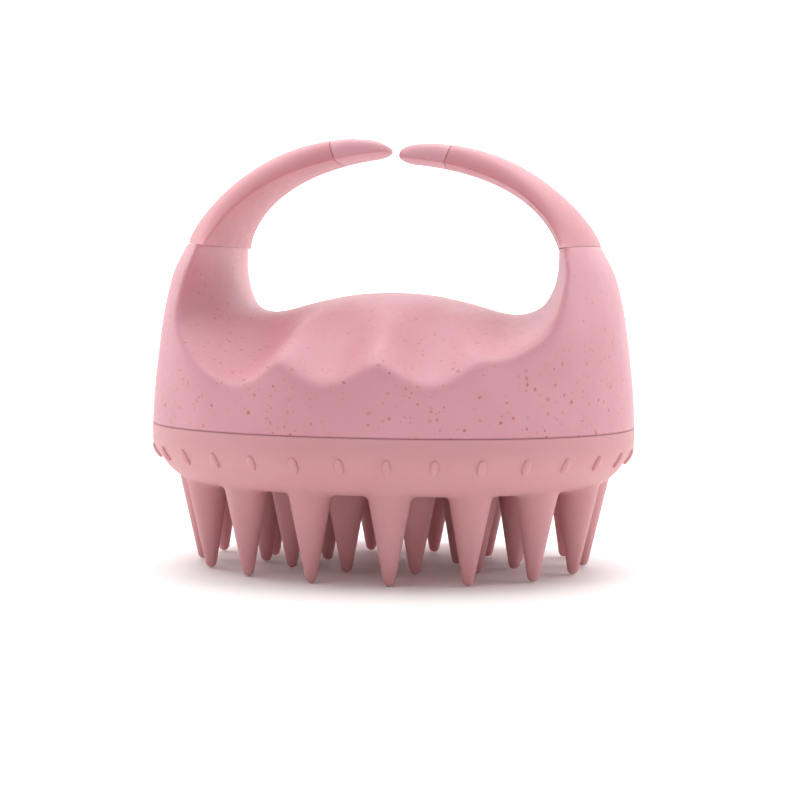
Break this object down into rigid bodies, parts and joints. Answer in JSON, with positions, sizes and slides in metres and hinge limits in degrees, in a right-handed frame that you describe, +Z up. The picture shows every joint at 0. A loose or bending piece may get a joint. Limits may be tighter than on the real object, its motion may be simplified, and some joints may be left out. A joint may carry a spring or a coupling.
{
  "type": "scalp massager brush",
  "caption": "Hand-held scalp massager: oval palm shell with finger dents, two curled soft-sleeved finger arms and a silicone pad of conical bristles.",
  "frame": {"origin": "on the surface that the bristle tips stand on, under the middle of the oval shell", "axes": "+X along the oval's long axis from the left arm to the right one, -Y the front seen in use, +Z up through the finger ring"},
  "size_m": [0.095, 0.08, 0.0835],
  "materials": {
    "shell": "matte wheat-straw plastic, pink with fine brown and grey flecks",
    "silicone": "smooth satin silicone, pink",
    "core_plastic": "plain natural plastic, hidden inside",
    "screw_steel": "plated steel"
  },
  "bodies": {
    "body": {"body_shell": "shell", "bristle_pad": "silicone", "backing_plate": "core_plastic", "plate_screw_1": "screw_steel", "plate_screw_2": "screw_steel", "plate_screw_3": "screw_steel", "plate_screw_4": "screw_steel"},
    "left_arm": {"left_grip_sleeve": "silicone", "left_arm_core": "core_plastic", "left_tip": "shell"},
    "right_arm": {"right_grip_sleeve": "silicone", "right_arm_core": "core_plastic", "right_tip": "shell"}
  },
  "joints": [
    {"name": "left_arm_flex", "type": "hinge", "parent": "body", "child": "left_arm", "pos_m": [-0.03255, 0, 0.06931], "axis": [0, -1, 0], "range_deg": [-1.5, 8], "stiffness_Nm_per_rad": 3, "deforming": ["left_grip_sleeve"]},
    {"name": "right_arm_flex", "type": "hinge", "parent": "body", "child": "right_arm", "pos_m": [0.03224, 0, 0.06912], "axis": [0, 1, 0], "range_deg": [-1.5, 8], "stiffness_Nm_per_rad": 3, "deforming": ["right_grip_sleeve"]}
  ]
}
